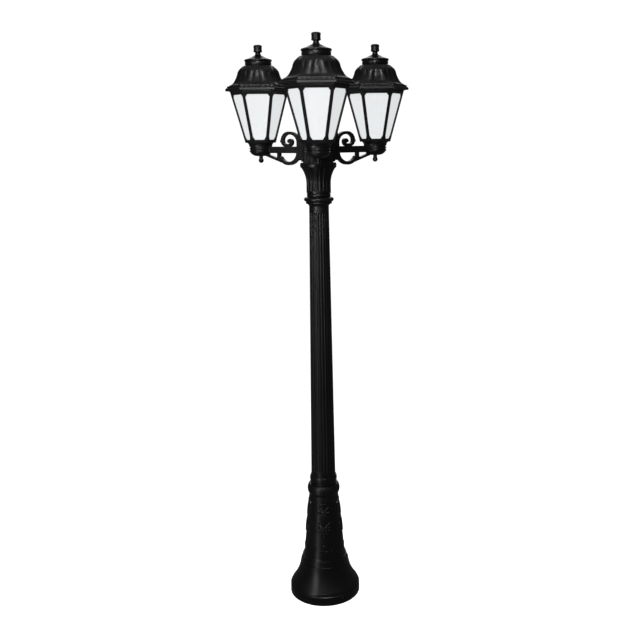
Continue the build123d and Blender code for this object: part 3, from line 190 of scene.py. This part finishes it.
# Finish of a surface: two shades, two roughnesses, its grain, how far edges are softened and how metallic
Finish = namedtuple(
    "Finish", "shades roughness grain_scale grain_depth edge_round metal", defaults=(0.0, 0.0)
)
FINISHES = {
    "black_resin": Finish(
        shades=((0.0025, 0.0025, 0.0027), (0.0045, 0.0045, 0.0048)), roughness=(0.30, 0.40),
        grain_scale=1400.0, grain_depth=0.00003, edge_round=0.0012,
    ),
    "opal": Finish(
        shades=((0.22, 0.225, 0.23), (0.25, 0.255, 0.26)), roughness=(0.22, 0.32),
        grain_scale=600.0, grain_depth=0.00001,
    ),
    "bulb_glass": Finish(
        shades=((0.85, 0.84, 0.80), (0.91, 0.90, 0.87)), roughness=(0.18, 0.30),
        grain_scale=900.0, grain_depth=0.00001,
    ),
    "holder_plastic": Finish(
        shades=((0.70, 0.68, 0.62), (0.80, 0.78, 0.72)), roughness=(0.35, 0.5),
        grain_scale=900.0, grain_depth=0.00002, edge_round=0.0006,
    ),
    "terminal_plastic": Finish(
        shades=((0.66, 0.66, 0.62), (0.78, 0.78, 0.74)), roughness=(0.4, 0.55),
        grain_scale=900.0, grain_depth=0.00002, edge_round=0.0005,
    ),
    "board_plastic": Finish(
        shades=((0.20, 0.20, 0.21), (0.28, 0.28, 0.29)), roughness=(0.45, 0.6),
        grain_scale=700.0, grain_depth=0.00003, edge_round=0.0005,
    ),
    "seal_rubber": Finish(
        shades=((0.012, 0.012, 0.012), (0.03, 0.03, 0.03)), roughness=(0.6, 0.8),
        grain_scale=900.0, grain_depth=0.00004,
    ),
    "steel": Finish(
        shades=((0.45, 0.45, 0.46), (0.62, 0.62, 0.62)), roughness=(0.22, 0.38),
        grain_scale=1200.0, grain_depth=0.00001, edge_round=0.0004, metal=1.0,
    ),
    "black_steel": Finish(
        shades=((0.070, 0.070, 0.073), (0.110, 0.110, 0.114)), roughness=(0.30, 0.44),
        grain_scale=1200.0, grain_depth=0.00001, edge_round=0.0004, metal=1.0,
    ),
    "tube_brass": Finish(
        shades=((0.62, 0.44, 0.17), (0.78, 0.58, 0.26)), roughness=(0.22, 0.4),
        grain_scale=1200.0, grain_depth=0.00001, edge_round=0.0004, metal=1.0,
    ),
    "flange_iron": Finish(
        shades=((0.02, 0.02, 0.022), (0.05, 0.048, 0.045)), roughness=(0.5, 0.7),
        grain_scale=500.0, grain_depth=0.0001, edge_round=0.001, metal=0.6,
    ),
}
RESIN_SPECULAR = 0.45
# Painted light: the opal panes of the unlit lantern glow evenly, as if light shone through them
OPAL_PAINTED_LIGHT = 0.72
OPAL_PAINTED_LIGHT_COLOR = (0.963, 0.991, 1.0)

# Floor, just under the post
FLOOR_R = 14.0
FLOOR_SIDES = 96
FLOOR_DROP = 0.0005
FLOOR_GLOW = 1.0
FLOOR_FINISH = Finish(
    shades=((0.86, 0.86, 0.86), (0.90, 0.90, 0.90)), roughness=(0.8, 0.9),
    grain_scale=300.0, grain_depth=0.00002,
)

# Surround: how bright it looks and how much it lights
SURROUND_SHOWN = 1.05
SURROUND_LIGHT = 0.065

# Light panel: the ends of its middle line, its width, the point that it faces, its power and its spread
LightPanel = namedtuple("LightPanel", "ends width target power spread", defaults=(180.0,))
LIGHTS = {
    # From the left: the streak down the post, more of it on the capital, and the base's own from the floor
    "key": LightPanel(((-1.75, -2.25, 0.02), (-1.75, -2.25, 3.3)), 0.45, (0, 0, 1.66), 20.0),
    "mid_key": LightPanel(((-1.70, -2.19, 0.93), (-1.74, -2.24, 1.4)), 0.45, (0, 0, 1.3), 0.21, 28.0),
    "low_key": LightPanel(((-0.25, -0.32, 0.003), (-1.6, -2.05, 0.003)), 0.14, (-0.9, -1.2, 1.0), 1.4),
    # From the front: the petals, the hoppers and the ledges of the base
    "top": LightPanel(((-0.15, -1.94, 3.38), (-0.15, -2.42, 2.65)), 1.7, (0, -0.25, 1.8), 1.6, 22.0),
    "front": LightPanel(((-0.28, -3.3, 1.85), (-0.28, -3.2, 2.5)), 0.75, (0, 0, 1.75), 1.4, 48.0),
    "crown": LightPanel(((-0.9, -1.5, 3.35), (0.9, -1.5, 3.35)), 0.5, (0, 0, 0.4), 1.6, 20.0),
    # From behind: the rims of roofs and base, with a gap between the two that keeps the cups dark
    "back_top": LightPanel(((0, 2.6, 1.9), (0, 2.6, 3.3)), 2.2, (0, 0, 2.6), 18.0),
    "back_low": LightPanel(((0, 2.6, 0.02), (0, 2.6, 0.9)), 2.2, (0, 0, 0.46), 1.5, 24.0),
    # From above: the tops of the roofs
    "overhead": LightPanel(((0, 0.5, 2.35), (0, -0.8, 2.35)), 1.3, (0, -0.15, 1.7), 1.1),
}


def shader_of(material):
    """Main shader of a node material."""
    return material.node_tree.nodes["Principled BSDF"]


def noise(tree, scale, detail):
    """Noise in the object's own coordinates."""
    place = tree.nodes.new("ShaderNodeTexCoord")
    texture = tree.nodes.new("ShaderNodeTexNoise")
    texture.inputs["Scale"].default_value = scale
    texture.inputs["Detail"].default_value = detail
    tree.links.new(place.outputs["Object"], texture.inputs["Vector"])
    return texture.outputs["Fac"]


def spread_roughness(tree, cloud, roughness):
    """Roughness between two values by a noise."""
    mapper = tree.nodes.new("ShaderNodeMapRange")
    mapper.inputs["From Min"].default_value = CLOUD_ROUGH_FROM
    mapper.inputs["From Max"].default_value = CLOUD_ROUGH_TO
    low, high = roughness
    mapper.inputs["To Min"].default_value = low
    mapper.inputs["To Max"].default_value = high
    tree.links.new(cloud, mapper.inputs["Value"])
    return mapper.outputs["Result"]


def spread_shade(tree, cloud, shades):
    """Colour between two shades by a noise."""
    ramp = tree.nodes.new("ShaderNodeValToRGB")
    stops = zip(ramp.color_ramp.elements, (CLOUD_SHADE_FROM, CLOUD_SHADE_TO), shades)
    for stop, position, shade in stops:
        stop.position = position
        stop.color = (*shade, 1.0)
    tree.links.new(cloud, ramp.inputs["Fac"])
    return ramp.outputs["Color"]


def grain(tree, finish):
    """Fine bump over the surface, with its edges softened where the finish says so."""
    bump = tree.nodes.new("ShaderNodeBump")
    bump.inputs["Strength"].default_value = 1.0
    bump.inputs["Distance"].default_value = finish.grain_depth
    tree.links.new(noise(tree, finish.grain_scale, GRAIN_DETAIL), bump.inputs["Height"])
    if finish.edge_round:
        bevel = tree.nodes.new("ShaderNodeBevel")
        bevel.samples = EDGE_ROUND_SAMPLES
        bevel.inputs["Radius"].default_value = finish.edge_round
        tree.links.new(bevel.outputs["Normal"], bump.inputs["Normal"])
    return bump.outputs["Normal"]


def finish_material(name, finish):
    """Material whose shade and roughness drift between two values, over a fine grain."""
    material = bpy.data.materials.new(name)
    material.use_nodes = True
    tree = material.node_tree
    shader = shader_of(material)
    shader.inputs["Metallic"].default_value = finish.metal
    cloud = noise(tree, CLOUD_SCALE, CLOUD_DETAIL)
    tree.links.new(spread_shade(tree, cloud, finish.shades), shader.inputs["Base Color"])
    tree.links.new(spread_roughness(tree, cloud, finish.roughness), shader.inputs["Roughness"])
    tree.links.new(grain(tree, finish), shader.inputs["Normal"])
    return material


def add_glow(material, color, strength):
    """Gives a material an even light of its own: the evenly bright floor, and painted light on the opal
    panes.
    """
    shader = shader_of(material)
    shader.inputs["Emission Color"].default_value = (*color, 1.0)
    shader.inputs["Emission Strength"].default_value = strength


def make_materials():
    """Every material of the post, by the record's slot."""
    made = {slot: finish_material(slot, finish) for slot, finish in FINISHES.items()}
    shader_of(made["black_resin"]).inputs["Specular IOR Level"].default_value = RESIN_SPECULAR
    # Painted light: the opal panes glow though no lamp is lit in them
    add_glow(made["opal"], OPAL_PAINTED_LIGHT_COLOR, OPAL_PAINTED_LIGHT)
    return made


def dress_cad(materials):
    """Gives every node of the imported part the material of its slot."""
    for part in frame["record"]["subparts"]:
        mesh = NODES[part["node"]].data
        mesh.materials.clear()
        mesh.materials.append(materials[part["material_slot"]])


def dress_piece(piece, materials, slot, body):
    """Gives a new piece the material of a slot and the body that it moves with."""
    piece.data.materials.append(materials[slot])
    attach(piece, body)


def finished_piece(name, mesh):
    """Smooth object made of a finished mesh."""
    bmesh.ops.recalc_face_normals(mesh, faces=mesh.faces)
    data = bpy.data.meshes.new(name)
    mesh.to_mesh(data)
    mesh.free()
    for polygon in data.polygons:
        polygon.use_smooth = True
    piece = bpy.data.objects.new(name, data)
    bpy.context.scene.collection.objects.link(piece)
    return piece


def skin(mesh, rows, closed=False):
    """Four-sided faces between neighbouring rows of vertices, all round where the rows are closed."""
    for low, high in zip(rows, rows[1:]):
        count = len(low)
        for index in range(count if closed else count - 1):
            after = (index + 1) % count
            mesh.faces.new((low[index], low[after], high[after], high[index]))


def even_angles(count):
    """Angles of a number of even steps round a circle."""
    return [2 * math.pi * step / count for step in range(count)]


def surface_of(name):
    """Search tree over the surface of a CAD node."""
    mesh = NODES[name].data
    points = [vertex.co.copy() for vertex in mesh.vertices]
    faces = [list(polygon.vertices) for polygon in mesh.polygons]
    return BVHTree.FromPolygons(points, faces)


def box_middle(node):
    """Middle of a CAD node's box."""
    low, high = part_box(node)
    return (Vector(low) + Vector(high)) / 2


def panel_hit(surface, angle, height):
    """Point of a panel met by a level ray towards the post's axis, and the direction out from there."""
    outward = Matrix.Rotation(angle, 3, "Z") @ Vector((1, 0, 0))
    hit, _, _, _ = surface.ray_cast(outward * PANEL_RAY_R + UP * height, -outward)
    return hit, outward


def on_panel(panel, across, height, lift):
    """Point on a panel: across along its curve, at a height, lifted off its surface."""
    middle, _ = panel_hit(panel.surface, panel.direction, height)
    angle = panel.direction + across / math.hypot(middle.x, middle.y)
    hit, outward = panel_hit(panel.surface, angle, height)
    return hit + outward * lift


def leaf_points(leaf):
    """Rows of across, along and lift for one pointed, lobed leaf with a sunk midrib."""
    rows = []
    for step in range(LEAF_ROWS + 1):
        along = step / LEAF_ROWS
        notch = (1 - math.cos(2 * math.pi * LEAF_LOBES * along)) / 2
        swell = math.sin(math.pi * along**LEAF_BELLY_POWER) ** LEAF_FULLNESS_POWER
        half = leaf.width / 2 * swell * (1 - LEAF_LOBE_CUT * notch)
        tip_fall = min(1.0, (1 - along) / LEAF_TIP_SHARE) ** 0.5
        rise = leaf.thickness * tip_fall * (1 - LEAF_LOBE_DIP * notch)
        row = []
        for column in range(LEAF_COLUMNS + 1):
            side = 2 * column / LEAF_COLUMNS - 1
            crown = (1 - side * side) ** 0.5
            rib = LEAF_RIB_DEPTH * math.exp(-((side / LEAF_RIB_SHARE) ** 2))
            row.append((side * half, along * leaf.length, rise * (crown - rib) - LEAF_SINK))
        rows.append(row)
    return rows


def add_leaf(mesh, panel, foot, leaf, side=1):
    """Leaf laid on a panel from its foot, turned to one side from straight up."""
    turn = side * math.radians(leaf.turn)
    cosine = math.cos(turn)
    sine = math.sin(turn)
    rows = []
    for points in leaf_points(leaf):
        row = []
        for across, along, lift in points:
            x = foot[0] + across * cosine + along * sine
            z = foot[1] - across * sine + along * cosine
            row.append(mesh.verts.new(on_panel(panel, x, z, lift)))
        rows.append(row)
    skin(mesh, rows)


def add_berry(mesh, panel, place, radius):
    """Half-round berry on a panel."""
    rings = []
    for step in range(BERRY_RINGS):
        rise = math.pi / 2 * step / BERRY_RINGS
        size = radius * math.cos(rise)
        lift = radius * math.sin(rise) - LEAF_SINK
        ring = []
        for angle in even_angles(BERRY_SIDES):
            x = place[0] + size * math.cos(angle)
            z = place[1] + size * math.sin(angle)
            ring.append(mesh.verts.new(on_panel(panel, x, z, lift)))
        rings.append(ring)
    skin(mesh, rings, closed=True)
    mesh.faces.new(rings[-1])


def add_spray(mesh, panel, spray):
    """Spray of leaves to both sides and one that hangs, with three berries over their feet."""
    height = DOOR_TOP_Z - spray.fall
    berry_across, berry_rise = spray.side_berry
    for side in (-1, 1):
        for leaf in spray.side_leaves:
            add_leaf(mesh, panel, (side * spray.foot, height), leaf, side)
        add_berry(mesh, panel, (side * berry_across, height + berry_rise), spray.berry_r)
    add_leaf(mesh, panel, (0.0, height), spray.hanging_leaf)
    add_berry(mesh, panel, (0.0, height + spray.top_berry_rise), spray.berry_r)


def add_stem(mesh, panel):
    """Stem down the middle of a panel, thinner towards its top."""
    rows = []
    for step in range(STEM_STEPS + 1):
        share = step / STEM_STEPS
        height = STEM_LOW_Z + (STEM_TOP_Z - STEM_LOW_Z) * share
        half = STEM_W / 2 * (1 - STEM_TAPER * share)
        rows.append([
            mesh.verts.new(on_panel(panel, half * across, height, half * up - STEM_SINK))
            for across, up in STEM_PROFILE
        ])
    skin(mesh, rows)


def add_leaf_drops(materials):
    """Leaf drop on the access door, which is the front panel, and on the three fixed panels."""
    door = surface_of("access_door")
    plinth = surface_of("base_plinth")
    for side, degrees in PANEL_DIRECTIONS.items():
        surface, body = (door, "door") if side == "front" else (plinth, "post")
        panel = BasePanel(surface, math.radians(degrees))
        mesh = bmesh.new()
        add_stem(mesh, panel)
        add_spray(mesh, panel, LOWER_SPRAY)
        add_spray(mesh, panel, UPPER_SPRAY)
        piece = finished_piece(f"leaf_drop_{side}", mesh)
        dress_piece(piece, materials, "black_resin", body)


def add_edge_bead(mesh, seat, across, outward):
    """Half-round bead lying along a roof's edge."""
    rows = []
    for column in range(EDGE_BEAD_COLUMNS + 1):
        along = math.pi * column / EDGE_BEAD_COLUMNS
        size = math.sin(along)
        row = []
        for step in range(EDGE_BEAD_ROWS + 1):
            turn = math.pi * step / EDGE_BEAD_ROWS
            point = seat - across * (EDGE_BEAD_L / 2 * math.cos(along))
            point -= UP * (EDGE_BEAD_H / 2 * size * math.cos(turn))
            point += outward * (EDGE_BEAD_T * size * math.sin(turn) - EDGE_BEAD_SINK)
            row.append(mesh.verts.new(point))
        rows.append(row)
    skin(mesh, rows)


def roof_beads(lantern):
    """Beads along the six sides of one roof, under its dome."""
    roof = f"roof_{lantern}"
    surface = surface_of(roof)
    middle = box_middle(f"roof_knob_{lantern}")
    middle.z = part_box(roof)[0][2] + EDGE_BEAD_RISE
    mesh = bmesh.new()
    for side in range(LANTERN_SIDES):
        angle = math.radians(ROOF_FIRST_SIDE + 360.0 * side / LANTERN_SIDES)
        outward = Vector((math.cos(angle), math.sin(angle), 0))
        across = UP.cross(outward)
        face, _, _, _ = surface.ray_cast(middle + outward * ROOF_RAY_R, -outward)
        for place in range(EDGE_BEAD_COUNT):
            step = (place - (EDGE_BEAD_COUNT - 1) / 2) * EDGE_BEAD_PITCH
            add_edge_bead(mesh, face + across * step, across, outward)
    return finished_piece(f"roof_beads_{lantern}", mesh)


def add_roof_beads(materials):
    """Beads on every roof, which lift with it."""
    for lantern in LANTERNS:
        dress_piece(roof_beads(lantern), materials, "black_resin", f"roof_cover_{lantern}")


def add_plug(mesh, outline, direction, low, high, crown):
    """Closed plug over an outline, with its top edge drawn in by a crown."""
    middle = sum(outline, Vector()) / len(outline)
    drawn_in = 1.0 - crown / (outline[0] - middle).length
    rings = [
        [mesh.verts.new(middle + (point - middle) * share + direction * level) for point in outline]
        for level, share in ((low, 1.0), (high - crown, 1.0), (high, drawn_in))
    ]
    skin(mesh, rings, closed=True)
    mesh.faces.new(rings[0])
    mesh.faces.new(rings[-1])


def add_slotted_screw(mesh, seat, direction, screw):
    """Slotted screw: its shank, the round foot of its head and the two halves beside the slot."""
    side = direction.cross(UP).normalized()
    up = side.cross(direction)

    def arc(radius, angles):
        return [seat + side * (radius * math.cos(a)) + up * (radius * math.sin(a)) for a in angles]

    shank = arc(screw.shank_r, even_angles(SCREW_SIDES))
    add_plug(mesh, shank, direction, -screw.shank_l, 0.0, screw.shank_r * SCREW_TIP_CROWN_SHARE)
    foot = arc(screw.head_r, even_angles(SCREW_SIDES))
    foot_h = screw.head_h * (1 - SCREW_SLOT_SHARE)
    add_plug(mesh, foot, direction, 0.0, foot_h, screw.head_h * SCREW_FOOT_CROWN_SHARE)
    slot_edge = math.asin(SCREW_SLOT_W / 2 / screw.head_r)
    steps = SCREW_SIDES // 2
    for half_turn in (0.0, math.pi):
        start = slot_edge + half_turn + math.radians(screw.slot_turn)
        turns = [start + (math.pi - 2 * slot_edge) * step / steps for step in range(steps + 1)]
        half = arc(screw.head_r, turns)
        add_plug(mesh, half, direction, foot_h, screw.head_h, screw.head_h * SCREW_HEAD_CROWN_SHARE)


def add_door_screw(materials):
    """Slotted screw in place of the door's plain one."""
    low, high = (Vector(corner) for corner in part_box("door_screw"))
    seat = Vector((0, low.y + DOOR_SCREW_HEAD_H, (low.z + high.z) / 2))
    screw = Screw(
        head_r=(high.x - low.x) / 2,
        head_h=DOOR_SCREW_HEAD_H,
        shank_r=DOOR_SCREW_SHANK_R,
        shank_l=high.y - seat.y,
        slot_turn=DOOR_SCREW_SLOT_TURN,
    )
    mesh = bmesh.new()
    add_slotted_screw(mesh, seat, Vector((0, -1, 0)), screw)
    piece = finished_piece("door_screw_slotted", mesh)
    dress_piece(piece, materials, "black_steel", "door")
    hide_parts("door_screw")


def add_rim_screws(materials):
    """Slotted screws in place of the three plain ones in the rim of the base."""
    low, high = (Vector(corner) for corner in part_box("rim_screws"))
    # One screw faces -X, so the box's lowest x says how far out the heads reach
    reach = -low.x
    screw = Screw(
        head_r=(high.z - low.z) / 2,
        head_h=RIM_SCREW_HEAD_H,
        shank_r=RIM_SCREW_SHANK_R,
        shank_l=RIM_SCREW_SHANK_L,
        slot_turn=RIM_SCREW_SLOT_TURN,
    )
    mesh = bmesh.new()
    for turn in RIM_SCREW_TURNS:
        direction = Matrix.Rotation(math.radians(turn), 3, "Z") @ Vector((1, 0, 0))
        seat = direction * (reach - RIM_SCREW_HEAD_H) + UP * ((low.z + high.z) / 2)
        add_slotted_screw(mesh, seat, direction, screw)
    piece = finished_piece("rim_screws_slotted", mesh)
    dress_piece(piece, materials, "black_steel", "post")
    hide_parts("rim_screws")


def add_floor():
    """Plain pale floor under the post, kept out of its reflections."""
    mesh = bmesh.new()
    bmesh.ops.create_circle(mesh, cap_ends=True, segments=FLOOR_SIDES, radius=FLOOR_R)
    data = bpy.data.meshes.new("floor")
    mesh.to_mesh(data)
    mesh.free()
    material = finish_material("floor_pale", FLOOR_FINISH)
    add_glow(material, WHITE, FLOOR_GLOW)
    data.materials.append(material)
    floor = bpy.data.objects.new("floor", data)
    floor.location.z = cad_box[0][2] - FLOOR_DROP
    floor.visible_glossy = False
    floor.visible_diffuse = False
    bpy.context.scene.collection.objects.link(floor)


def add_surround():
    """White surround that lights the post less than it shows."""
    world = bpy.data.worlds.new("studio")
    world.use_nodes = True
    tree = world.node_tree
    background = tree.nodes["Background"]
    background.inputs["Color"].default_value = (*WHITE, 1.0)
    path = tree.nodes.new("ShaderNodeLightPath")
    strength = tree.nodes.new("ShaderNodeMapRange")
    strength.inputs["To Min"].default_value = SURROUND_LIGHT
    strength.inputs["To Max"].default_value = SURROUND_SHOWN
    tree.links.new(path.outputs["Is Camera Ray"], strength.inputs["Value"])
    tree.links.new(strength.outputs["Result"], background.inputs["Strength"])
    bpy.context.scene.world = world


def add_light(name, panel):
    """Soft panel light along its middle line, turned to face its target."""
    first, second = (Vector(point) for point in panel.ends)
    middle = (first + second) / 2
    along = (second - first).normalized()
    back = middle - Vector(panel.target)
    back = (back - along * back.dot(along)).normalized()
    data = bpy.data.lights.new(name, "AREA")
    data.shape = "RECTANGLE"
    data.size = panel.width
    data.size_y = (second - first).length
    data.energy = panel.power
    data.spread = math.radians(panel.spread)
    light = bpy.data.objects.new(name, data)
    turn = Matrix((along.cross(back), along, back)).transposed().to_4x4()
    light.matrix_world = Matrix.Translation(middle) @ turn
    light.visible_camera = False
    bpy.context.scene.collection.objects.link(light)


def add_camera():
    """Camera at the photograph's place and angle."""
    data = bpy.data.cameras.new("photo_camera")
    data.lens = CAMERA_LENS_MM
    data.sensor_width = CAMERA_SENSOR_MM
    data.shift_x = CAMERA_SHIFT
    data.clip_end = CAMERA_CLIP_END
    camera = bpy.data.objects.new("photo_camera", data)
    turn = Matrix.Rotation(math.radians(CAMERA_TURN), 4, "Z")
    pitch = Matrix.Rotation(math.radians(CAMERA_PITCH), 4, "X")
    roll = Matrix.Rotation(math.radians(CAMERA_ROLL), 4, "Z")
    camera.matrix_world = Matrix.Translation(CAMERA_PLACE) @ turn @ pitch @ roll
    bpy.context.scene.collection.objects.link(camera)
    bpy.context.scene.camera = camera


materials = make_materials()
dress_cad(materials)
add_leaf_drops(materials)
add_roof_beads(materials)
add_door_screw(materials)
add_rim_screws(materials)
add_floor()
add_surround()
for light_name, light_panel in LIGHTS.items():
    add_light(light_name, light_panel)
add_camera()
bpy.context.scene.view_settings.view_transform = "Standard"
